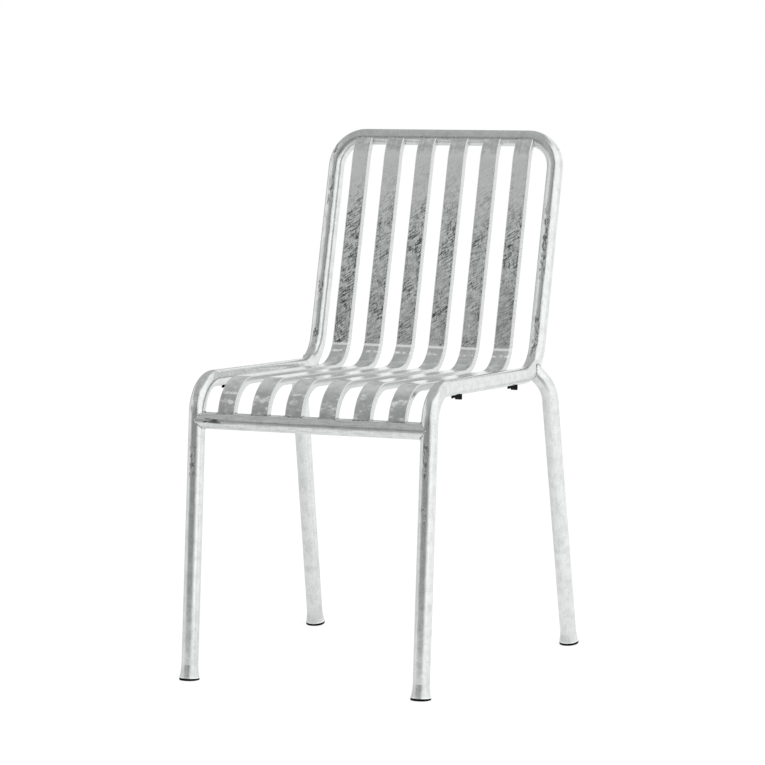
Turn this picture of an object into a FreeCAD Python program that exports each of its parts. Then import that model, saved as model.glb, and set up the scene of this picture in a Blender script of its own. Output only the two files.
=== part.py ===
import FreeCAD, Part
import math
import os

Vector = FreeCAD.Vector

# Slatted stacking chair in galvanised steel tube. X is the sitter's width, -Y the front, +Z up.
# While it is built, Y is measured from half way between the front and the rear feet.
# At the end everything is moved so that the origin lies under the middle of the whole chair.

# Round tube of the frame, the legs and the crossbar.
tube_diameter = 25.0
tube_wall = 1.5

# Side frames and back, which are one bent tube.
overall_height = 800.0
frame_spacing = 372.6
front_corner_height = 440.8
rail_length = 401.4
rail_fall_angle = 1.6
front_leg_rake_angle = 4.35
back_recline_angle = 14.6
front_bend_radius = 51.0
rear_bend_radius = 60.0
top_bend_radius = 47.0

# Feet on the floor, measured between the legs' centre lines.
foot_depth = 503.8
rear_foot_spacing = 439.0

# Rear legs, which are bent in at the top and welded to the outside of the rear bends.
rear_leg_joint_angle = 34.0
rear_leg_corner_out = 26.2
rear_leg_corner_back = 9.6
rear_leg_corner_down = 30.7
rear_leg_bend_radius = 51.0

# Flared tube ends at the feet.
flare_length = 20.0
flare_diameter = 30.0

# Glides pushed into the legs. The flat depth is what the floor takes off a glide's dome.
glide_rim_height = 3.5
glide_dome_radius = 60.0
front_glide_flat_depth = 3.0
rear_glide_flat_depth = 0.3
glide_clearance = 0.1
glide_stem_length = 12.0
glide_rib_count = 3
glide_groove_depth = 1.0

# Front crossbar, in the plane of the front legs.
crossbar_height = 382.5

# Slats of flat rectangular tube, bent in one piece from the crossbar to the back rail.
slat_count = 6
slat_pitch = 54.7
slat_width = 28.0
slat_thickness = 11.0
slat_wall = 1.5
slat_edge_radius = 2.0
slat_front_bend_radius = 56.0
slat_rear_bend_radius = 56.0
slat_stand_off = 16.0
slat_top_bend_radius = 70.0
slat_top_stand_off = 4.0
slat_end_length = 6.0

# Flat bar under the slats, from rail to rail, just in front of the rear stacking pads.
support_bar_width = 25.0
support_bar_thickness = 6.0
support_bar_pad_gap = 8.0

# Stacking pads under the rails.
pad_length = 26.0
pad_width = 10.0
pad_tip_width = 4.0
pad_tip_depth = 3.8
pad_tip_gap = 1.2
pad_waist_depth = 2.8
pad_heel_depth = 7.0
pad_heel_rounding = 2.0
front_pad_from_corner = 91.2
rear_pad_from_corner = 94.0
pad_pin_diameter = 5.0
pad_pin_head_diameter = 6.6
pad_pin_head_length = 4.0
pad_hole_clearance = 0.1

tube_radius = tube_diameter / 2
bore_radius = tube_radius - tube_wall


def direction(angle_from_up):
    """Unit vector in the side plane, tipped back from straight up."""
    tip = math.radians(angle_from_up)
    return Vector(0, math.sin(tip), math.cos(tip))


def meet(point_a, along_a, point_b, along_b):
    """Where two lines of the side plane cross."""
    across = along_a.y * along_b.z - along_a.z * along_b.y
    gap = point_b - point_a
    step = (gap.y * along_b.z - gap.z * along_b.y) / across
    return point_a + along_a * step


def at_height(point, along, height):
    """Where a line passes a height."""
    return point + along * ((height - point.z) / along.z)


def at_side(point, x):
    return Vector(x, point.y, point.z)


def corner(before, point, after, radius):
    """Tangent points, middle and centre of the arc that rounds a corner."""
    back = (before - point).normalize()
    on = (after - point).normalize()
    half = math.acos(max(-1.0, min(1.0, back.dot(on)))) / 2
    reach = radius / math.tan(half)
    middle = (back + on).normalize()
    centre = point + middle * (radius / math.sin(half))
    return point + back * reach, centre - middle * radius, point + on * reach, centre


def rounded_path(points, radii):
    """Straight runs joined by tangent arcs."""
    edges = []
    start = points[0]
    for index, radius in enumerate(radii, 1):
        enter, middle, leave, _ = corner(points[index - 1], points[index], points[index + 1], radius)
        edges.append(Part.LineSegment(start, enter).toShape())
        edges.append(Part.Arc(enter, middle, leave).toShape())
        start = leave
    edges.append(Part.LineSegment(start, points[-1]).toShape())
    return Part.Wire(edges)


def round_bar(path, points, radius):
    """Solid round bar along a path that starts on its first run."""
    along = (points[1] - points[0]).normalize()
    ring = Part.Wire(Part.makeCircle(radius, points[0], along))
    return path.makePipeShell([ring], True, False)


def turned(outline):
    """Solid turned about Z from an outline of radius and height."""
    face = Part.Face(Part.Wire(outline))
    return face.revolve(Vector(0, 0, 0), Vector(0, 0, 1), 360)


def line(a, b):
    return Part.LineSegment(Vector(a[0], 0, a[1]), Vector(b[0], 0, b[1])).toShape()


def arc(a, b, c):
    return Part.Arc(Vector(a[0], 0, a[1]), Vector(b[0], 0, b[1]), Vector(c[0], 0, c[1])).toShape()


def polyline(points):
    return [line(a, b) for a, b in zip(points, points[1:])]


def stood_on(shape, point, along):
    """Turns a shape's Z axis into a direction and puts its origin on a point."""
    moved = shape.copy()
    moved.Placement = FreeCAD.Placement(point, FreeCAD.Rotation(Vector(0, 0, 1), along))
    return moved


def mirrored(shape):
    return shape.mirror(Vector(0, 0, 0), Vector(1, 0, 0))


def largest(shape):
    return max(shape.Solids, key=lambda solid: solid.Volume)


# Lines and corner points of the side frame.
half_spacing = frame_spacing / 2
back_rail_height = overall_height - tube_radius
leg_up = direction(front_leg_rake_angle)
rail_back = direction(90.0 + rail_fall_angle)
rail_normal = direction(rail_fall_angle)
back_up = direction(back_recline_angle)
front_foot = Vector(0, -foot_depth / 2, 0)
front_corner = at_height(front_foot, leg_up, front_corner_height)
rear_corner = front_corner + rail_back * rail_length
top_corner = at_height(rear_corner, back_up, back_rail_height)
crossbar_point = at_height(front_foot, leg_up, crossbar_height)

# Middle of the rear bend, where the rear leg meets the frame.
bend_in, _, _, bend_centre = corner(front_corner, rear_corner, top_corner, rear_bend_radius)
joint_turn = math.radians(rear_leg_joint_angle)
bend_down = (bend_in - bend_centre).normalize()
joint_point = bend_centre + (bend_down * math.cos(joint_turn) + rail_back * math.sin(joint_turn)) * rear_bend_radius
joint_point = at_side(joint_point, half_spacing)
rear_leg_corner = joint_point + Vector(rear_leg_corner_out, rear_leg_corner_back, -rear_leg_corner_down)
rear_foot = Vector(rear_foot_spacing / 2, foot_depth / 2, 0)
rear_leg_up = (rear_leg_corner - rear_foot).normalize()

# The dome of a glide is a ball whose centre stands on the leg's line. The floor trims it flat.
flare_radius = flare_diameter / 2
dome_rim = math.sqrt(glide_dome_radius**2 - flare_radius**2)
tube_end_below_dome = dome_rim - glide_rim_height


def foot_points(foot, up, flat_depth):
    """Centre of the glide's dome, end of the leg tube and start of its flare."""
    dome = at_height(foot, up, glide_dome_radius - flat_depth)
    end = dome - up * tube_end_below_dome
    return dome, end, end + up * flare_length


def flare_edge(radius, growth):
    """Hollow curve of the flared end, from the mouth up to the plain tube."""
    bow = (flare_length**2 + growth**2) / (2 * growth)
    half_length = flare_length / 2
    middle = radius + bow - math.sqrt(bow**2 - half_length**2)
    return arc((radius + growth, 0), (middle, half_length), (radius, flare_length))


def flared_end(radius):
    growth = flare_radius - tube_radius
    rim = radius + growth
    outline = [line((0, 0), (rim, 0)), flare_edge(radius, growth)]
    outline += polyline([(radius, flare_length), (0, flare_length), (0, 0)])
    return turned(outline)


def leg_solids(points, radii, feet):
    """Outer and bore solids of a bent tube with its flared feet."""
    solids = []
    for radius in (tube_radius, bore_radius):
        path = rounded_path(points, radii)
        solid = round_bar(path, points, radius)
        ends = [stood_on(flared_end(radius), end, up) for end, up in feet]
        solids.append(solid.fuse(ends).removeSplitter())
    return solids


front_dome, front_end, front_flare = foot_points(front_foot, leg_up, front_glide_flat_depth)
rear_dome, rear_end, rear_flare = foot_points(rear_foot, rear_leg_up, rear_glide_flat_depth)


def make_frame():
    """Front legs, seat rails, back uprights and back rail, bent from one tube."""
    side = [front_flare, front_corner, rear_corner, top_corner]
    points = [at_side(p, -half_spacing) for p in side] + [at_side(p, half_spacing) for p in reversed(side)]
    radii = [front_bend_radius, rear_bend_radius, top_bend_radius]
    feet = [(at_side(front_end, x), leg_up) for x in (-half_spacing, half_spacing)]
    outer, bore = leg_solids(points, radii + radii[::-1], feet)
    return outer, outer.cut(bore)


def make_rear_leg(frame_outer):
    """Right rear leg, coped to the outside of the frame's rear bend."""
    points = [rear_flare, rear_leg_corner, joint_point]
    outer, bore = leg_solids(points, [rear_leg_bend_radius], [(rear_end, rear_leg_up)])
    return largest(outer.cut(bore).cut(frame_outer))


def make_crossbar(frame_outer):
    """Round tube between the front legs, coped to both."""
    start = at_side(crossbar_point, -half_spacing)
    outer = Part.makeCylinder(tube_radius, frame_spacing, start, Vector(1, 0, 0))
    bore = Part.makeCylinder(bore_radius, frame_spacing, start, Vector(1, 0, 0))
    return outer, largest(outer.cut(bore).cut(frame_outer))


def rounded_rectangle(width, depth, radius):
    """Section of a slat, flat on the floor."""
    x = width / 2 - radius
    y = depth / 2 - radius
    corners = []
    for quarter, (centre_x, centre_y) in enumerate([(x, y), (-x, y), (-x, -y), (x, -y)]):
        turns = [math.radians(90 * quarter + step) for step in (0, 45, 90)]
        corners.append([Vector(centre_x + radius * math.cos(t), centre_y + radius * math.sin(t), 0) for t in turns])
    edges = []
    for rounding, following in zip(corners, corners[1:] + corners[:1]):
        edges.append(Part.Arc(*rounding).toShape())
        edges.append(Part.LineSegment(rounding[-1], following[0]).toShape())
    return Part.Wire(edges)


def slat_path():
    """Lower end and centre line of a slat, which ends inside the back rail."""
    back_normal = Vector(0, -back_up.z, back_up.y)
    stand = rear_corner + back_normal * slat_stand_off
    rear_point = meet(front_corner, rail_back, stand, back_up)
    bend_start, _, _, _ = corner(front_foot, front_corner, rear_point, slat_front_bend_radius)
    below_bend = bend_start - leg_up * slat_end_length
    lower_end = min(crossbar_point, below_bend, key=lambda point: point.z)
    set_back = slat_stand_off - slat_top_stand_off
    turn = math.acos(1 - set_back / slat_top_bend_radius)
    run = slat_top_bend_radius * math.sin(turn)
    top_level = top_corner + back_normal * slat_stand_off
    arc_start = top_level - back_up * run
    arc_centre = arc_start - back_normal * slat_top_bend_radius

    def on_arc(angle):
        return arc_centre + (back_normal * math.cos(angle) + back_up * math.sin(angle)) * slat_top_bend_radius

    end_along = back_up * math.cos(turn) - back_normal * math.sin(turn)
    points = [lower_end, front_corner, rear_point, arc_start]
    lower = rounded_path(points, [slat_front_bend_radius, slat_rear_bend_radius])
    upper = [
        Part.Arc(arc_start, on_arc(turn / 2), on_arc(turn)).toShape(),
        Part.LineSegment(on_arc(turn), on_arc(turn) + end_along * slat_end_length).toShape(),
    ]
    return lower_end, Part.Wire(lower.Edges + upper)


def make_slat(frame_outer, crossbar_outer):
    """Middle slat. Its ends are coped to the crossbar and to the back rail."""
    lower_end, path = slat_path()
    solids = []
    for wall in (0.0, slat_wall):
        section = rounded_rectangle(slat_width - 2 * wall, slat_thickness - 2 * wall, slat_edge_radius - wall)
        solids.append(path.makePipeShell([stood_on(section, lower_end, leg_up)], True, False))
    slat = solids[0].cut(solids[1]).cut(crossbar_outer).cut(frame_outer)
    reach = 2 * slat_front_bend_radius
    below_crossbar = Part.makeBox(slat_width, reach, reach)
    below_crossbar.translate(crossbar_point - Vector(slat_width / 2, reach / 2, reach))
    return largest(slat.cut(below_crossbar))


def make_support_bar(frame_outer):
    """Flat bar that carries the slats where the sitter's weight rests."""
    from_pad = (pad_length + support_bar_width) / 2 + support_bar_pad_gap
    centre = pad_point(False) - rail_back * from_pad
    top = slat_thickness / 2
    low = top + support_bar_thickness
    half_width = support_bar_width / 2
    corners = [(-half_width, -low), (half_width, -low), (half_width, -top), (-half_width, -top)]
    ring = [at_side(centre + rail_back * y + rail_normal * z, -half_spacing) for y, z in corners]
    face = Part.Face(Part.makePolygon(ring + ring[:1]))
    return largest(face.extrude(Vector(frame_spacing, 0, 0)).cut(frame_outer))


def make_glide(point, up):
    """Black plug with a domed foot, trimmed flat by the floor."""
    growth = flare_radius - tube_radius
    apex = tube_end_below_dome - glide_dome_radius
    half_angle = math.asin(flare_radius / glide_dome_radius) / 2
    bow_out = glide_dome_radius * math.sin(half_angle)
    bow_down = tube_end_below_dome - glide_dome_radius * math.cos(half_angle)
    fit_radius = bore_radius - glide_clearance
    groove_radius = fit_radius - glide_groove_depth
    outline = [arc((0, apex), (bow_out, bow_down), (flare_radius, -glide_rim_height))]
    outline += polyline([(flare_radius, -glide_rim_height), (flare_radius, 0), (fit_radius + growth, 0)])
    outline.append(flare_edge(fit_radius, growth))
    rib_pitch = glide_stem_length / glide_rib_count
    steps = [(fit_radius, flare_length)]
    for index in range(glide_rib_count):
        low = flare_length + rib_pitch * index
        steps += [(groove_radius, low), (groove_radius, low + rib_pitch / 2)]
        steps += [(fit_radius, low + rib_pitch / 2), (fit_radius, low + rib_pitch)]
    steps += [(0, flare_length + glide_stem_length), (0, apex)]
    outline += polyline(steps)
    glide = stood_on(turned(outline), point, up)
    floor = Part.makeBox(4 * flare_radius, 4 * flare_radius, flare_radius)
    floor.translate(Vector(point.x - 2 * flare_radius, point.y - 2 * flare_radius, -flare_radius))
    return largest(glide.cut(floor))


def pad_point(from_front):
    if from_front:
        return front_corner + rail_back * front_pad_from_corner
    return rear_corner - rail_back * rear_pad_from_corner


def rail_placement(point):
    """Places a shape modelled along Y on the right-hand rail."""
    turn = FreeCAD.Rotation(Vector(1, 0, 0), -rail_fall_angle)
    return FreeCAD.Placement(at_side(point, half_spacing), turn)


def make_pad(point):
    """Stacking pad: a wedge on the rail's underside, with a thin drooping tip and a deep heel."""
    half_length = pad_length / 2

    def side_point(y, depth):
        return Vector(0, y, -tube_radius - depth)

    tip = side_point(-half_length, pad_tip_depth)
    heel_low = side_point(half_length - pad_heel_rounding, pad_heel_depth)
    heel_back = side_point(half_length, pad_heel_depth - pad_heel_rounding)
    inset = pad_heel_rounding * (1 - math.sqrt(0.5))
    heel_middle = side_point(half_length - inset, pad_heel_depth - inset)
    under = [
        Part.Arc(tip, side_point(0, pad_waist_depth), heel_low).toShape(),
        Part.Arc(heel_low, heel_middle, heel_back).toShape(),
    ]
    rim = Part.makePolygon([heel_back, Vector(0, half_length, 0), Vector(0, -half_length, 0), tip])
    side = Part.Face(Part.Wire(under + rim.Edges))
    block = side.extrude(Vector(pad_width, 0, 0))
    block.translate(Vector(-pad_width / 2, 0, 0))

    tip_radius = pad_tip_width / 2
    tip_side = tip_radius - half_length
    tip_left = Vector(-tip_radius, tip_side, 0)
    tip_right = Vector(tip_radius, tip_side, 0)
    nose = Part.Arc(tip_left, Vector(0, -half_length, 0), tip_right).toShape()
    heel_right = Vector(pad_width / 2, half_length, 0)
    heel_left = Vector(-pad_width / 2, half_length, 0)
    flanks = Part.makePolygon([tip_right, heel_right, heel_left, tip_left])
    outline = Part.Face(Part.Wire([nose] + flanks.Edges)).extrude(Vector(0, 0, -tube_diameter))
    rail = Part.makeCylinder(tube_radius, 2 * pad_length, Vector(0, -pad_length, 0), Vector(0, 1, 0))
    droop = Vector(0, -half_length, -pad_tip_gap)
    under_tip = Part.makeCylinder(tube_radius, pad_length, Vector(0, 0, 0), droop)
    body = block.common(outline).cut([rail, under_tip])

    pin_radius = pad_pin_diameter / 2
    head_radius = pad_pin_head_diameter / 2
    seat = -tube_radius - pad_waist_depth / 2
    inside = -bore_radius + pad_hole_clearance
    outline = [(0, seat), (pin_radius, seat), (pin_radius, inside), (head_radius, inside)]
    outline += [(pin_radius, inside + pad_pin_head_length), (0, inside + pad_pin_head_length), (0, seat)]
    pin = turned(polyline(outline))
    pad = body.fuse(pin).removeSplitter()
    pad.Placement = rail_placement(point)
    return pad


def make_pad_hole(point):
    """Hole in the rail's lower wall for the pad's pin."""
    radius = pad_pin_diameter / 2 + pad_hole_clearance
    hole = Part.makeCylinder(radius, tube_radius, Vector(0, 0, -1.5 * tube_radius))
    hole.Placement = rail_placement(point)
    return hole


frame_outer, frame = make_frame()
holes = [make_pad_hole(pad_point(from_front)) for from_front in (True, False)]
frame = largest(frame.cut(holes + [mirrored(hole) for hole in holes]))
crossbar_outer, crossbar = make_crossbar(frame_outer)
rear_leg = make_rear_leg(frame_outer)
slat = make_slat(frame_outer, crossbar_outer)

nodes = {
    "main_frame_tube": frame,
    "front_crossbar": crossbar,
    "rear_leg_right": rear_leg,
    "rear_leg_left": mirrored(rear_leg),
    "seat_support_bar": make_support_bar(frame_outer),
}
for index in range(slat_count):
    placed = slat.copy()
    placed.translate(Vector((index - (slat_count - 1) / 2) * slat_pitch, 0, 0))
    nodes[f"slat_{index + 1}"] = placed
right_parts = {
    "glide_front": make_glide(at_side(front_end, half_spacing), leg_up),
    "glide_rear": make_glide(rear_end, rear_leg_up),
    "stacking_pad_front": make_pad(pad_point(True)),
    "stacking_pad_rear": make_pad(pad_point(False)),
}
for name, shape in right_parts.items():
    nodes[f"{name}_right"] = shape
    nodes[f"{name}_left"] = mirrored(shape)

# The origin goes under the middle of the chair's depth, between the front glides and the back rail.
glide_rim = front_dome - leg_up * dome_rim
depth_front = glide_rim.y - flare_radius * leg_up.z
depth_back = top_corner.y + tube_radius
to_origin = Vector(0, -(depth_front + depth_back) / 2, 0)

os.makedirs("parts", exist_ok=True)
for name, shape in nodes.items():
    shape.translate(to_origin)
    shape.exportStep(f"parts/{name}.step")

for label, point in (
    ("front foot", front_dome),
    ("rear foot", rear_dome),
    ("front corner", front_corner),
    ("rear corner", rear_corner),
    ("top corner", top_corner),
):
    place = point + to_origin
    print(f"{label}: x {place.x:.2f}, y {place.y:.2f}, z {place.z:.2f}")
print(f"depth {depth_back - depth_front:.1f}, volume {sum(s.Volume for s in nodes.values()) / 1000:.0f} cm3")
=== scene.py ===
import math

import bmesh
import bpy
from mathutils import Matrix, Vector
from mathutils.bvhtree import BVHTree


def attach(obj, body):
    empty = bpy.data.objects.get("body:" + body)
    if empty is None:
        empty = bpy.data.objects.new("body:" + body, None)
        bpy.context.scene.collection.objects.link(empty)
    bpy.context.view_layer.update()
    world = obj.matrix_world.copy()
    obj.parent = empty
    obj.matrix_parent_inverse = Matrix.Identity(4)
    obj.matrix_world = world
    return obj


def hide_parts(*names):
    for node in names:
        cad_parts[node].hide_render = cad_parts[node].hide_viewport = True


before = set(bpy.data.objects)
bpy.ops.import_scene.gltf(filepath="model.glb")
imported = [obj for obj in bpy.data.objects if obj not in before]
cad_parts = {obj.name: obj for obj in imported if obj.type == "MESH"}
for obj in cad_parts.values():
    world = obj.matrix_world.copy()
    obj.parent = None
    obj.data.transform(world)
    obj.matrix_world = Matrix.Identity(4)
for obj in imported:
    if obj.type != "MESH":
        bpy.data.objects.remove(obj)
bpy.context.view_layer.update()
print("frame loaded:", len(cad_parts), "nodes")


# shader maths

class Sock:  # a socket that takes plain arithmetic
    def __init__(self, graph, socket):
        self.graph = graph
        self.socket = socket

    def math(self, operation, *values):
        return self.graph.add("Math", {"operation": operation}, dict(enumerate(values)))

    def __add__(self, other):
        return self.math("ADD", self, other)

    def __radd__(self, other):
        return self.math("ADD", other, self)

    def __sub__(self, other):
        return self.math("SUBTRACT", self, other)

    def __rsub__(self, other):
        return self.math("SUBTRACT", other, self)

    def __mul__(self, other):
        return self.math("MULTIPLY", self, other)

    def __rmul__(self, other):
        return self.math("MULTIPLY", other, self)

    def __truediv__(self, other):
        return self.math("DIVIDE", self, other)

    def __neg__(self):
        return self.math("MULTIPLY", self, -1.0)

    def __abs__(self):
        return self.math("ABSOLUTE", self)

    def part(self):  # what follows the decimal point
        return self.math("FRACT", self)

    def between(self, low, high):  # 0 below low, 1 above high, smooth in between
        return self.graph.add("MapRange", {"interpolation_type": "SMOOTHSTEP"}, {0: self, 1: low, 2: high})

    def band(self, centre, halfWidth, soft):  # 1 near centre, 0 away from it
        return 1 - abs(self - centre).between(halfWidth, halfWidth + soft)


class Graph:  # the node tree of one material or of the world
    def __init__(self, tree):
        self.tree = tree
        tree.nodes.clear()

    def outputs(self, kind, inputs, *names):
        first = self.add(kind, inputs=inputs, output=names[0])
        sockets = first.socket.node.outputs
        return [Sock(self, sockets[name]) for name in names]

    def mix(self, factor, first, second):
        return self.add("Mix", {"data_type": "FLOAT"}, {0: factor, 2: first, 3: second})

    def add(self, kind, settings=None, inputs=None, output=0):
        node = self.tree.nodes.new("ShaderNode" + kind)
        for name, value in (settings or {}).items():
            setattr(node, name, value)
        for name, value in (inputs or {}).items():
            if isinstance(value, Sock):
                self.tree.links.new(value.socket, node.inputs[name])
            else:
                node.inputs[name].default_value = value
        return Sock(self, node.outputs[output]) if node.outputs else None

    def mixColour(self, factor, first, second):
        return self.add("Mix", {"data_type": "RGBA"}, {0: factor, 6: first, 7: second}, 2)

    def place(self):
        return self.add("TexCoord", output="Object")

    def noise(self, point, scale, detail, rough, twist=0.0):
        inputs = {"Vector": point, "Scale": scale, "Detail": detail, "Roughness": rough, "Distortion": twist}
        return self.add("TexNoise", inputs=inputs, output="Fac")

    # noise whose features have the given length along each turned axis
    def stretched(self, point, size, rough=0.5, twist=0.0, turn=(0, 0, 0)):
        inputs = {"Vector": point, "Rotation": turn, "Scale": size}
        return self.noise(self.add("Mapping", {"vector_type": "TEXTURE"}, inputs), 1.0, 2.0, rough, twist)

    def relief(self, height, distance, strength=1.0):
        return self.add("Bump", inputs={"Strength": strength, "Distance": distance, "Height": height})

    def azimuth(self, x, y):  # degrees from straight ahead of the chair, positive to the picture's right
        return x.math("ARCTAN2", x, -y) * (180 / math.pi)


def grey(value):
    return (value, value, value, 1.0)


def zincTone(value):  # a faint green in the grey
    return (value * 0.972, value, value * 0.992, 1.0)


def newMaterial(name):
    material = bpy.data.materials.new(name)
    material.use_nodes = True
    return material, Graph(material.node_tree)


def closeMaterial(graph, inputs):
    shader = graph.add("BsdfPrincipled", inputs=inputs)
    graph.add("OutputMaterial", inputs={"Surface": shader})


def addPiece(name, bm, material):
    mesh = bpy.data.meshes.new(name)
    bm.to_mesh(mesh)
    bm.free()
    mesh.shade_smooth()
    mesh.materials.append(material)
    piece = bpy.data.objects.new(name, mesh)
    bpy.context.scene.collection.objects.link(piece)
    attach(piece, "root")
    return piece


# slats

slatShape = {
    "count": 6,
    "pitch": 0.0547,
    "width": 0.028,
    "depth": 0.011,
    "edge": 0.0016,  # rounding of the long edges
    "start": (-0.23364, 0.38250),  # side view: how far back, how high
    "lean": math.radians(4.35),  # of the first run, back from upright
    "runs": (0.00509, 0.28706, 0.28981, 0.006),
    "bends": (  # radius and turn, positive to the back
        (0.056, math.radians(87.25)),
        (0.056, math.radians(-77.0)),
        (0.070, math.radians(34.05)),
    ),
    "stepsPerTurn": 96,
}


# galvanised steel

zinc = {
    "bright": 0.86,  # clean zinc
    "dull": 0.60,  # its dull patches
    "shiny": 0.97,  # where it is rubbed or pressed bright, and painted highlights
    "mark": 0.10,  # dirt in strokes and pits, and painted shade and painted dark reflections
    "mottleSize": 0.014,
    "spangles": 1.4,  # crystals in one mottle's length
    "grainSize": 0.0022,
    "relief": 0.0008,
}

# real wear of the tubes, with painted shade, painted highlights and painted dark reflections among it
tubeWearAndPaintedLight = {
    "roughness": 0.17,
    "dentSize": (0.016, 0.030, 0.030),
    "dents": 0.55,
    "streakSize": (0.0022, 0.0022, 0.030),
    "streaks": 0.5,
    "topRailShade": ((0.770, 0.784), 0.12),  # heights where the top rail's painted shade begins, and how much darker it is painted
    "pitSize": (0.003, 0.005, 0.009),
    "pits": 0.08,
    "dashes": 0.8,  # painted dark reflections: small dark dashes along the side tubes
    "dashClusters": 18.0,
    "dashHeights": (0.20, 0.32),  # they fade in between these
    "sideTube": (0.1863, 0.0025, 0.0035),  # how far out, half a dash strip's width, its soft edge
    "seatRail": (0.438, 0.012, 0.020),  # height of the rails, which have no dashes
    "rim": (0.0016, 0.0023),  # height of the painted highlight on the edge of the flared ends
    "flare": (0.008, 0.024),  # height of the painted light on the flares
    "frontEnd": ((0.0, -0.26254, 0.00256), (0.0, 0.07585, 0.99712)),  # middle of a front tube's end, its axis
    "rearEnd": ((0.21940, 0.23999, 0.00597), (-0.01682, -0.17618, 0.98422)),
}

barWear = {
    "height": (0.3825, 0.013, 0.002),
    "ends": (0.168, 0.172),
    "back": (-0.20, -0.19),
    "lineSize": (0.020, 0.0016, 0.0016),  # lengthwise lines
    "lines": 1.8,
    "scarEnd": (-0.150, -0.120),  # the scar runs from the left end to here
    "scarHeight": (0.3835, 0.002, 0.002),
}

slatWear = {
    "metal": 0.62,
    "roughness": 0.10,
    "zone": (0.540, 0.085, 0.14),  # height of the middle of the rubbed part, half its length, its fade
    "strokeTurn": math.radians(34),  # strokes rise to the right
    "steeper": 1.2,
    "strokeLength": 0.011,
    "strokeWidth": 0.0016,
    "patches": 26.0,
    "lineSize": (0.0012, 0.4, 0.045),
    "dotSize": (0.0025, 0.02, 0.006),
    "edgeDashes": 0.9,
    "cloudSize": (0.014, 0.02, 0.007),
    "bumps": 42.0,
    "flat": (0.215, 0.232),  # share of the pitch from a slat's middle at which its rounded edges begin
    "plain": (0.14, 0.21),  # and at which its relief ends
    "rear": (0.10, 0.12),  # how far back the back begins
    "seatFront": (0.425, 0.437),  # height up to which a slat's front end reaches
    "bendMark": (0.4660, 0.0010, 0.0016),  # press mark across the rear bend: height, half width, soft edge
    "secondMark": (0.4560, 0.0008, 0.0018),
    "breakSize": (0.006, 0.02, 0.003),  # gaps in the second mark
}


def steelBase(graph, point):  # dullness from 0 to 1, and two textures that finishes use again
    mottle = graph.noise(point, 1 / zinc["mottleSize"], 3.0, 0.6, 0.3)
    crystals = {"Vector": point, "Scale": zinc["spangles"] / zinc["mottleSize"], "Randomness": 1.0}
    cell = graph.add("TexVoronoi", {"feature": "F1"}, crystals, "Color")
    spangle = graph.outputs("SeparateColor", {0: cell}, 0)[0]
    grain = graph.noise(point, 1 / zinc["grainSize"], 3.0, 0.65)
    dull = mottle.between(0.30, 0.72) * 0.30 + spangle * 0.12 + (grain - 0.5) * 0.60 + 0.15
    return dull, mottle, grain


# marks bring in the dark colour of dirt and of painted shade, shine that of rubbed zinc and of painted
# highlights
def steelColour(graph, dull, darkMarksAndPaintedShade, shineAndPaintedHighlight):
    colour = graph.mixColour(dull.between(0.0, 1.0), zincTone(zinc["bright"]), zincTone(zinc["dull"]))
    colour = graph.mixColour(shineAndPaintedHighlight, colour, zincTone(zinc["shiny"]))
    return graph.mixColour(darkMarksAndPaintedShade, colour, zincTone(zinc["mark"]))


def crossbarWear(graph, point, x, y, z):  # lighter and darker lines along it, and the scar at its left end
    onBar = z.band(*barWear["height"]) * (1 - abs(x).between(*barWear["ends"]))
    onBar = onBar * (1 - y.between(*barWear["back"]))
    lines = graph.stretched(point, barWear["lineSize"], 0.6, 0.2)
    scar = onBar * (1 - x.between(*barWear["scarEnd"])) * z.band(*barWear["scarHeight"])
    return (lines - 0.5) * barWear["lines"] * onBar, lines.between(0.44, 0.54) * scar


# painted reflection: dark dashes in a strip down the side tubes' front, where they mirror the dark front
def sideDashReflections(graph, point, pits, x, z):
    clusters = graph.noise(point, tubeWearAndPaintedLight["dashClusters"], 2.0, 0.5).between(0.42, 0.54)
    strip = abs(x).band(*tubeWearAndPaintedLight["sideTube"]) * (1 - z.band(*tubeWearAndPaintedLight["seatRail"]))
    high = z.between(*tubeWearAndPaintedLight["dashHeights"])
    return pits.between(0.49, 0.57) * clusters * strip * high * tubeWearAndPaintedLight["dashes"]


def tubeEnds(graph, x, y, z):  # painted highlight: 1 on the rims of the flared ends, and painted light: 1 on the flares
    rims = 0.0
    flares = 0.0
    behind = y.between(-0.01, 0.01)
    ends = ((*tubeWearAndPaintedLight["frontEnd"], 0, 1 - behind), (*tubeWearAndPaintedLight["rearEnd"], 1, behind))
    for place, axis, outwards, there in ends:
        folded = graph.add("CombineXYZ", inputs={0: abs(x) * outwards, 1: y, 2: z})
        offset = graph.add("VectorMath", {"operation": "SUBTRACT"}, {0: folded, 1: place})
        height = graph.add("VectorMath", {"operation": "DOT_PRODUCT"}, {0: offset, 1: axis}, "Value")
        rims = rims + (1 - height.between(*tubeWearAndPaintedLight["rim"])) * there
        flares = flares + (1 - height.between(*tubeWearAndPaintedLight["flare"])) * there
    return rims, flares


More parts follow.
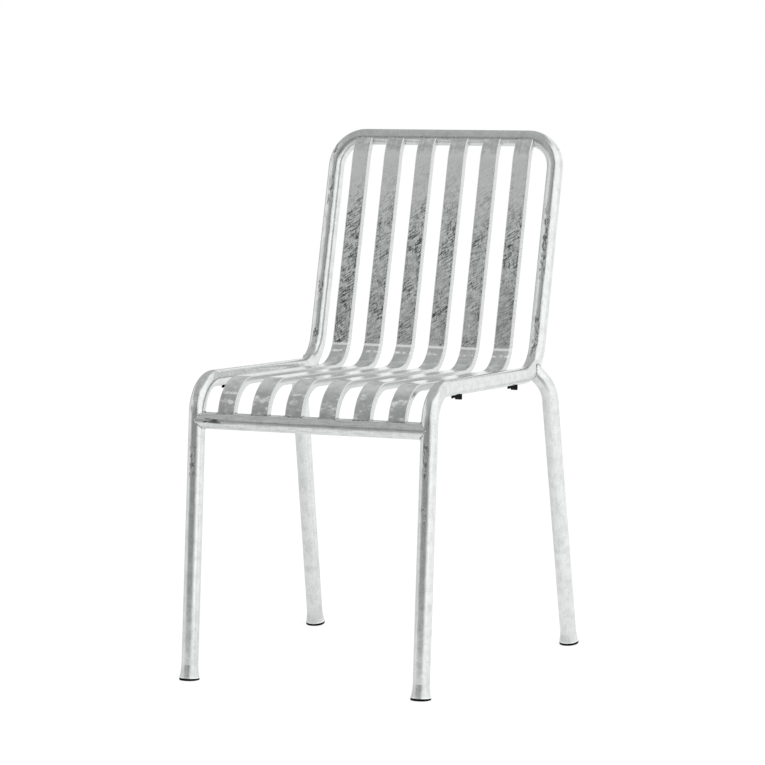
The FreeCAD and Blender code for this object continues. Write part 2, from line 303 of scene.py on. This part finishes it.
def tubeFinish():
    material, graph = newMaterial("tubeZinc")
    point = graph.place()
    x, y, z = graph.outputs("SeparateXYZ", {0: point}, 0, 1, 2)
    dull, mottle, grain = steelBase(graph, point)
    dents = graph.stretched(point, tubeWearAndPaintedLight["dentSize"], 0.5, 0.4)
    streaks = graph.stretched(point, tubeWearAndPaintedLight["streakSize"], 0.5, 0.2)
    pits = graph.stretched(point, tubeWearAndPaintedLight["pitSize"], 0.5, 0.3)
    barShade, scar = crossbarWear(graph, point, x, y, z)
    # dashes: painted dark reflections on the side tubes, and the crossbar's scar
    dashes = sideDashReflections(graph, point, pits, x, z)
    dashes = dashes.math("MAXIMUM", dashes, scar)
    # painted highlights on the rims of the flared ends, painted light on the flares
    rims, flares = tubeEnds(graph, x, y, z)
    # the top rail is painted darker: painted shade
    railShadeStart, railShade = tubeWearAndPaintedLight["topRailShade"]
    dull = dull + z.between(*railShadeStart) * railShade + barShade + (streaks - 0.5) * tubeWearAndPaintedLight["streaks"]
    height = dents * tubeWearAndPaintedLight["dents"] + pits * tubeWearAndPaintedLight["pits"] - dashes * 0.4 + grain * 0.05
    closeMaterial(graph, {
        "Base Color": steelColour(graph, dull, dashes * 0.9, rims * 0.9 + flares * 0.1),
        "Metallic": 1 - flares * 0.4,
        "Roughness": tubeWearAndPaintedLight["roughness"] + mottle * 0.06 + dashes * 0.2,
        "Normal": graph.relief(height, zinc["relief"]),
    })
    return material


def slatMarks(graph, point, across, rubbed):  # dark strokes and edge dashes, light strokes, and their texture
    patches = graph.noise(point, slatWear["patches"], 2.0, 0.5).between(0.40, 0.62)
    amount = (0.10 + 0.90 * rubbed) * (0.40 + 0.60 * patches)
    turn = slatWear["strokeTurn"]
    length = slatWear["strokeLength"]
    width = slatWear["strokeWidth"]
    fine = graph.stretched(point, (length, length, width), 0.55, 0.5, (0, -turn, 0))
    steepTurn = turn + slatWear["steeper"]
    steep = graph.stretched(point, (length, length, width * 1.2), 0.55, 0.5, (0, -steepTurn, 0))
    dots = graph.stretched(point, slatWear["dotSize"]).between(0.54, 0.62)
    edges = across.between(0.10, 0.24) + (-across).between(0.16, 0.25) * 0.6
    dashes = dots * edges * (0.12 + 0.88 * rubbed) * slatWear["edgeDashes"]
    dark = (fine.between(0.48, 0.62) * 0.95 + steep.between(0.52, 0.66) * 0.65) * amount + dashes
    light = (1 - fine).between(0.54, 0.66) * amount * 0.5
    return dark, light, fine


def pressMarks(graph, point, z, rear):  # a whole line across the rear bend, and a broken one below it
    whole = z.band(*slatWear["bendMark"]) * rear
    gaps = graph.stretched(point, slatWear["breakSize"]).between(0.40, 0.60)
    return whole, z.band(*slatWear["secondMark"]) * rear * gaps


def slatShade(graph, point, x, z, rear, front, clouds, grain):  # how much duller or brighter than the base: random tone, with painted shade and a painted highlight
    onBack = aboveBend(z)
    lines = graph.stretched(point, slatWear["lineSize"])
    low = (1 - z.between(0.50, 0.60)) * rear * onBack
    shade = (lines - 0.5) * 1.6 * onBack + (clouds - 0.5) * 1.6 + (grain - 0.5) * 0.5
    # painted shade on the slats' front ends and on the rear bend
    shade = shade + front * 0.55 + rear * (1 - onBack) * 0.50
    # darker towards the bottom of the back, more on the rightmost slat
    shade = shade + low * (0.35 + 0.35 * x.between(0.08, 0.14))
    # painted highlight: the upper back is lighter; painted shade at the very top, under the top rail
    return shade - z.between(0.66, 0.72) * 0.8 + z.between(0.750, 0.775) * 1.1


def aboveBend(z):
    height = slatWear["bendMark"][0]
    return z.between(height, height + 0.004)


def slatFinish():
    material, graph = newMaterial("slatZinc")
    point = graph.place()
    x, y, z = graph.outputs("SeparateXYZ", {0: point}, 0, 1, 2)
    across = (x / slatShape["pitch"] + slatShape["count"] / 2).part() - 0.5  # pitches from a slat's middle
    faces = 1 - abs(across).between(*slatWear["flat"])
    inner = 1 - abs(across).between(*slatWear["plain"])
    rear = y.between(*slatWear["rear"])
    front = (1 - z.between(*slatWear["seatFront"])) * (1 - rear)
    rubbed = z.band(*slatWear["zone"]) * aboveBend(z)
    dull, mottle, grain = steelBase(graph, point)
    clouds = graph.stretched(point, slatWear["cloudSize"])
    shade = slatShade(graph, point, x, z, rear, front, clouds, grain)
    dark, light, fine = slatMarks(graph, point, across, rubbed)
    press, second = pressMarks(graph, point, z, rear)
    # the bright cloud patches on the front ends are painted reflections
    shineAndPaintedHighlight = light * faces + press + second * 0.9 + clouds.between(0.48, 0.72) * front * faces
    # painted shade: the front ends are darker, most near the crossbar
    frontPaintedShade = 0.12 + 0.22 * (1 - clouds.between(0.36, 0.50))
    dark = dark + front * frontPaintedShade * (1 - 0.5 * z.between(0.39, 0.415))
    bumps = graph.noise(point, slatWear["bumps"], 2.0, 0.5) - 0.5
    height = (bumps * (0.35 + front * 1.1) + (fine - 0.5) * rubbed * 0.30) * inner + press * 0.3
    closeMaterial(graph, {
        "Base Color": steelColour(graph, graph.mix(faces, 0.30, dull + shade), dark * faces, shineAndPaintedHighlight),
        "Metallic": slatWear["metal"] - shineAndPaintedHighlight * 0.50,
        "Roughness": slatWear["roughness"] + mottle * 0.08 + rubbed * 0.10 + dark * 0.2,
        "Specular IOR Level": 0.2,
        "Normal": graph.relief(height, zinc["relief"]),
    })
    return material


def weldFinish():
    material, graph = newMaterial("weldZinc")
    lumps = graph.noise(graph.place(), 420.0, 2.0, 0.6)
    closeMaterial(graph, {
        "Base Color": graph.mixColour(lumps.between(0.40, 0.60), zincTone(0.30), zincTone(0.72)),
        "Metallic": 1.0,
        "Roughness": 0.32,
        "Normal": graph.relief(lumps, 0.0006),
    })
    return material


tubeSteel = tubeFinish()
slatSteel = slatFinish()
weldSteel = weldFinish()


# black plastic and rubber

def blackMoulding(name, tone, roughness, grainSize):
    material, graph = newMaterial(name)
    point = graph.place()
    grain = graph.noise(point, 1 / grainSize, 3.0, 0.6)
    dust = graph.noise(point, 90.0, 3.0, 0.6).between(0.5, 0.8)
    colour = graph.mixColour(dust * 0.5, grey(tone), grey(tone * 2.2))
    closeMaterial(graph, {
        "Base Color": colour,
        "Roughness": roughness + grain * 0.15,
        "Specular IOR Level": 0.06,
        "Normal": graph.relief(grain, 0.0002, 0.4),
    })
    return material


glidePlastic = blackMoulding("glidePlastic", 0.004, 0.5, 0.0004)
padRubber = blackMoulding("padRubber", 0.003, 0.6, 0.0006)
print("materials made")

for name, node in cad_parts.items():
    if name.startswith("slat"):
        finish = slatSteel
    elif name.startswith("glide"):
        finish = glidePlastic
    elif name.startswith("stacking_pad"):
        finish = padRubber
    else:
        finish = tubeSteel
    node.data.materials.clear()
    node.data.materials.append(finish)
print("finishes on the frame's nodes")


def slatPlace(index):
    return (index - (slatShape["count"] - 1) / 2) * slatShape["pitch"]


def slatSection(bm, middle):  # a ring of vertices around the slat, where it starts
    halfWidth = slatShape["width"] / 2
    halfDepth = slatShape["depth"] / 2
    signs = ((-1, -1), (1, -1), (1, 1), (-1, 1))
    corners = [bm.verts.new((x * halfWidth, y * halfDepth, 0)) for x, y in signs]
    for first, second in zip(corners, corners[1:] + corners[:1]):
        bm.edges.new((first, second))
    bmesh.ops.bevel(
        bm, geom=corners, affect="VERTICES", offset=slatShape["edge"], offset_type="OFFSET",
        segments=4, profile=0.5, material=-1,
    )
    upright = Matrix.Rotation(-slatShape["lean"], 3, "X")
    bmesh.ops.rotate(bm, verts=bm.verts[:], cent=(0, 0, 0), matrix=upright)
    bmesh.ops.translate(bm, verts=bm.verts[:], vec=(middle, *slatShape["start"]))
    return bm.edges[:]


def carryOn(bm, ring, forward, length):  # one straight run
    grown = bmesh.ops.extrude_edge_only(bm, edges=ring)["geom"]
    verts = [part for part in grown if isinstance(part, bmesh.types.BMVert)]
    bmesh.ops.translate(bm, verts=verts, vec=forward * length)
    return [part for part in grown if isinstance(part, bmesh.types.BMEdge)]


def makeSlat(index):
    middle = slatPlace(index)
    bm = bmesh.new()
    ring = slatSection(bm, middle)
    bmesh.ops.edgeloop_fill(bm, edges=ring)
    lean = slatShape["lean"]
    point = Vector((middle, *slatShape["start"]))
    for run, bend in zip(slatShape["runs"], slatShape["bends"] + (None,)):
        forward = Vector((0, math.sin(lean), math.cos(lean)))
        ring = carryOn(bm, ring, forward, run)
        point = point + forward * run
        if bend is None:
            break
        radius, turn = bend
        inward = Vector((0, math.cos(lean), -math.sin(lean))) * math.copysign(radius, turn)
        steps = max(6, round(abs(turn) / math.tau * slatShape["stepsPerTurn"]))
        spun = bmesh.ops.spin(
            bm, geom=ring, cent=point + inward, axis=(1, 0, 0), angle=-turn, steps=steps, use_duplicate=False,
        )
        ring = [part for part in spun["geom_last"] if isinstance(part, bmesh.types.BMEdge)]
        point = point + inward - Matrix.Rotation(-turn, 3, "X") @ inward
        lean += turn
    bmesh.ops.edgeloop_fill(bm, edges=ring)
    bmesh.ops.remove_doubles(bm, verts=bm.verts[:], dist=1e-6)
    bmesh.ops.recalc_face_normals(bm, faces=bm.faces[:])
    node = f"slat_{index + 1}"
    slat = addPiece(f"bentSlat{index + 1}", bm, slatSteel)
    smooth = slat.modifiers.new("flatFaces", "WEIGHTED_NORMAL")
    smooth.weight = 100
    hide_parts(node)


for index in range(slatShape["count"]):
    makeSlat(index)
print("slats bent")


# weld seams

weld = {
    "frameBead": 0.0012,  # radius of a bead between tubes
    "slatBead": 0.0010,
    "tubeRadius": 0.0125,
    "rearJoint": ((0.18630, 0.15815, 0.44024), (0.21250, 0.16775, 0.40954)),  # a rear leg's end and bend
    "crossbar": (-0.23364, 0.38250),
    "slatTop": ((0.2544, 0.7814), math.radians(40.5)),  # a slat's upper seam from the side, and its lean
    "crossbarStart": 0.150,  # how far out the rays for a bead start, or how far before the seam
    "rearStart": 0.036,
    "footStart": 0.022,
    "topStart": 0.015,
    "ripples": {"crossbar": 0.9, "rear": 0.8, "foot": 0.8, "top": 0.7},  # waves along each bead
}


def surfaceOf(*names):
    bm = bmesh.new()
    for name in names:
        bm.from_mesh(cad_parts[name].data)
    bmesh.ops.remove_doubles(bm, verts=bm.verts[:], dist=1e-6)
    tree = BVHTree.FromBMesh(bm)
    bm.free()
    return tree


def makeBead(name, ring, along, surface, size, wave):
    hits = []
    for start in ring:
        place, _, _, _ = surface.ray_cast(start, along)
        if place is not None:
            hits.append(place)
    line = bpy.data.curves.new(name, "CURVE")
    line.dimensions = "3D"
    line.bevel_depth = size
    line.bevel_resolution = 3
    spline = line.splines.new("POLY")
    spline.points.add(len(hits) - 1)
    for index, place in enumerate(hits):
        spline.points[index].co = (*place, 1.0)
        ripple = 0.16 * math.sin(index * wave) + 0.10 * math.sin(index * 0.37 * wave + 1)
        spline.points[index].radius = 1 + ripple
    spline.use_cyclic_u = True
    holder = bpy.data.objects.new(name, line)
    bm = bmesh.new()
    bm.from_mesh(bpy.data.meshes.new_from_object(holder))
    bpy.data.objects.remove(holder)
    bpy.data.curves.remove(line)
    bmesh.ops.remove_doubles(bm, verts=bm.verts[:], dist=1e-6)
    bmesh.ops.recalc_face_normals(bm, faces=bm.faces[:])
    addPiece(name, bm, weldSteel)


def ringAround(middle, along, radius, count=96):
    bm = bmesh.new()
    verts = bmesh.ops.create_circle(bm, segments=count, radius=radius)["verts"]
    turn = Vector(along).to_track_quat("Z", "Y").to_matrix().to_4x4()
    bmesh.ops.transform(bm, matrix=Matrix.Translation(middle) @ turn, verts=verts)
    ring = [vert.co.copy() for vert in bm.verts]
    bm.free()
    return ring


def slatRing(place, lean):  # a slat's outline around a place
    bm = bmesh.new()
    width = slatShape["width"]
    depth = slatShape["depth"]
    bmesh.ops.create_grid(bm, x_segments=14, y_segments=6, size=0.5)
    border = [vert for vert in bm.verts if vert.is_boundary]
    border.sort(key=lambda vert: math.atan2(vert.co.y, vert.co.x))
    turn = Matrix.Translation(place) @ Matrix.Rotation(-lean, 4, "X")
    ring = [turn @ Vector((vert.co.x * width, vert.co.y * depth, 0)) for vert in border]
    bm.free()
    return ring


def makeWelds():
    mainTube = surfaceOf("main_frame_tube")
    ripples = weld["ripples"]
    radius = weld["tubeRadius"] * 0.99
    for side, name in ((-1, "Left"), (1, "Right")):
        along = Vector((side, 0, 0))
        ring = ringAround((side * weld["crossbarStart"], *weld["crossbar"]), along, radius)
        makeBead("crossbarWeld" + name, ring, along, mainTube, weld["frameBead"], ripples["crossbar"])
        end, bend = (Vector((side * p[0], p[1], p[2])) for p in weld["rearJoint"])
        along = (end - bend).normalized()
        ring = ringAround(end - along * weld["rearStart"], along, radius)
        makeBead("rearLegWeld" + name, ring, along, mainTube, weld["frameBead"], ripples["rear"])
    crossbar = surfaceOf("front_crossbar")
    lean = slatShape["lean"]
    along = Vector((0, math.sin(lean), math.cos(lean)))
    topPlace, topLean = weld["slatTop"]
    topAlong = Vector((0, math.sin(topLean), math.cos(topLean)))
    for index in range(slatShape["count"]):
        middle = slatPlace(index)
        start = Vector((middle, *weld["crossbar"])) + along * weld["footStart"]
        ring = slatRing(start, lean)
        makeBead(f"slatFootWeld{index + 1}", ring, -along, crossbar, weld["slatBead"], ripples["foot"])
        start = Vector((middle, *topPlace)) - topAlong * weld["topStart"]
        ring = slatRing(start, topLean)
        makeBead(f"slatTopWeld{index + 1}", ring, topAlong, mainTube, weld["slatBead"], ripples["top"])


makeWelds()
print("seams welded")


# studio

studio = {
    "floorSize": 12.0,
    "floorWhite": 0.86,  # what the camera sees of the floor, without the lamp's light
    "floorMirrored": (0.62, 0.24),  # what steel mirrors of it at the left, and how much more at the right
    "floorAhead": (-1.5, -0.8),  # further ahead it mirrors like the wall in front
    "shadow": 0.22,  # share of the floor's white that the lamp gives, and a shadow takes away
    "lampPower": 30.0,
}

walls = {  # tones mirrored by the steel; directions in degrees from straight ahead, heights as their sine
    "front": 0.30,
    "frontHigh": ((0.12, 0.28), 0.13),  # how much lighter above these heights
    "frontTop": ((0.40, 0.60), 0.06),
    "bar": (11.5, 4.5, 4.0),  # a dark upright bar: direction, half width, soft edge
    "barTone": 0.06,
    "barFoot": (0.06, 0.12),
    "barTop": (0.80, 0.88),
    "left": (56, 18, 45, 0.90),  # edge, softness, how it leans, tone
    "leftTop": (0.42, 0.60),
    "right": (42, (-26, 20), 40, 1.15),
    "rightFloor": 1.10,
    "rear": ((0.2, 0.4), 0.52, 0.48),  # where it begins, its tone, how much lighter below
    "rearEdge": ((0.66, 0.78), 1.3),
    "ceiling": ((0.86, 0.95), 0.52),
}


def sideWalls(graph, tone, azimuth, rise, leftShare, rightTone):
    edge, soft, lean, leftTone = walls["left"]
    left = (1 - (azimuth + edge - lean * rise).between(-soft, soft)) * leftShare
    tone = graph.mix(left, tone, leftTone)
    edge, soft, lean, _ = walls["right"]
    return graph.mix((azimuth - edge + lean * rise).between(*soft), tone, rightTone)


def makeFloor():
    mesh = bpy.data.meshes.new("floor")
    bm = bmesh.new()
    bmesh.ops.create_grid(bm, x_segments=1, y_segments=1, size=studio["floorSize"] / 2)
    bm.to_mesh(mesh)
    bm.free()
    floor = bpy.data.objects.new("floor", mesh)
    bpy.context.scene.collection.objects.link(floor)
    material, graph = newMaterial("floorWhite")
    camera, glossy = graph.outputs("LightPath", {}, "Is Camera Ray", "Is Glossy Ray")
    x, y = graph.outputs("SeparateXYZ", {0: graph.place()}, 0, 1)
    least, more = studio["floorMirrored"]
    ahead = sideWalls(graph, walls["front"], graph.azimuth(x, y), 0.0, 1.0, walls["rightFloor"])
    mirrored = graph.mix(1 - y.between(*studio["floorAhead"]), least + more * x.between(-1.0, 1.0), ahead)
    glow = graph.add("Emission", inputs={"Strength": camera * studio["floorWhite"] + glossy * mirrored})
    paint = graph.add("BsdfDiffuse", inputs={"Color": grey(studio["shadow"])})
    both = graph.add("AddShader", inputs={0: glow, 1: paint})
    graph.add("OutputMaterial", inputs={"Surface": both})
    mesh.materials.append(material)


def frontWall(graph, azimuth, z):
    high, more = walls["frontHigh"]
    top, last = walls["frontTop"]
    tone = walls["front"] + more * z.between(*high) + last * z.between(*top)
    bar = azimuth.band(*walls["bar"]) * z.between(*walls["barFoot"]) * (1 - z.between(*walls["barTop"]))
    return graph.mix(bar, tone, walls["barTone"])


def makeWorld():
    world = bpy.data.worlds.new("studio")
    bpy.context.scene.world = world
    world.use_nodes = True
    graph = Graph(world.node_tree)
    direction = graph.add("TexCoord", output="Generated")
    x, y, z = graph.outputs("SeparateXYZ", {0: direction}, 0, 1, 2)
    azimuth = graph.azimuth(x, y)
    rise = z.math("MINIMUM", z, 0.4)
    leftShare = 1 - z.between(*walls["leftTop"])
    tone = sideWalls(graph, frontWall(graph, azimuth, z), azimuth, rise, leftShare, walls["right"][3])
    rearStart, rearTone, rearMore = walls["rear"]
    rearTop, lean = walls["rearEdge"]
    low = 1 - (z - lean * x).between(*rearTop)
    tone = graph.mix(y.between(*rearStart), tone, rearTone + rearMore * low)
    start, ceiling = walls["ceiling"]
    tone = graph.mix(z.between(*start), tone, ceiling)
    camera = graph.outputs("LightPath", {}, "Is Camera Ray")[0]
    glow = graph.add("Background", inputs={"Color": grey(1.0), "Strength": graph.mix(camera, tone, 1.0)})
    graph.add("OutputWorld", inputs={"Surface": glow})


def makeLamp(name, place, size, power):
    lamp = bpy.data.lights.new(name, "AREA")
    lamp.shape = "DISK"
    lamp.size = size
    lamp.energy = power
    holder = bpy.data.objects.new(name, lamp)
    bpy.context.scene.collection.objects.link(holder)
    holder.visible_glossy = False
    holder.location = place
    holder.rotation_euler = (Vector((0, 0, 0.4)) - holder.location).to_track_quat("-Z", "Y").to_euler()


makeFloor()
makeWorld()
makeLamp("softRight", (2.6, -1.2, 2.6), 1.8, studio["lampPower"])


# camera

viewer = {
    "imageSize": 765,
    "azimuth": math.radians(24.38),
    "elevation": math.radians(5.95),
    "distance": 4.9639,
    "focus": 3288.2,  # focal length in pixels
    "middle": (374.83, 399.1),  # where the view's axis meets the picture
    "aim": (0.0, -0.01080, 0.4),
}


def makeCamera():
    lens = bpy.data.cameras.new("camera")
    camera = bpy.data.objects.new("camera", lens)
    bpy.context.scene.collection.objects.link(camera)
    size = viewer["imageSize"]
    lens.sensor_width = 36.0
    lens.lens = viewer["focus"] * lens.sensor_width / size
    lens.shift_x = 0.5 - viewer["middle"][0] / size
    lens.shift_y = viewer["middle"][1] / size - 0.5
    lens.clip_end = 50.0
    flat = math.cos(viewer["elevation"])
    away = Vector((
        math.sin(viewer["azimuth"]) * flat,
        -math.cos(viewer["azimuth"]) * flat,
        math.sin(viewer["elevation"]),
    ))
    camera.location = Vector(viewer["aim"]) + away * viewer["distance"]
    camera.rotation_euler = away.to_track_quat("Z", "Y").to_euler()
    bpy.context.scene.camera = camera


makeCamera()
bpy.context.scene.view_settings.view_transform = "Standard"
print("studio and camera set")
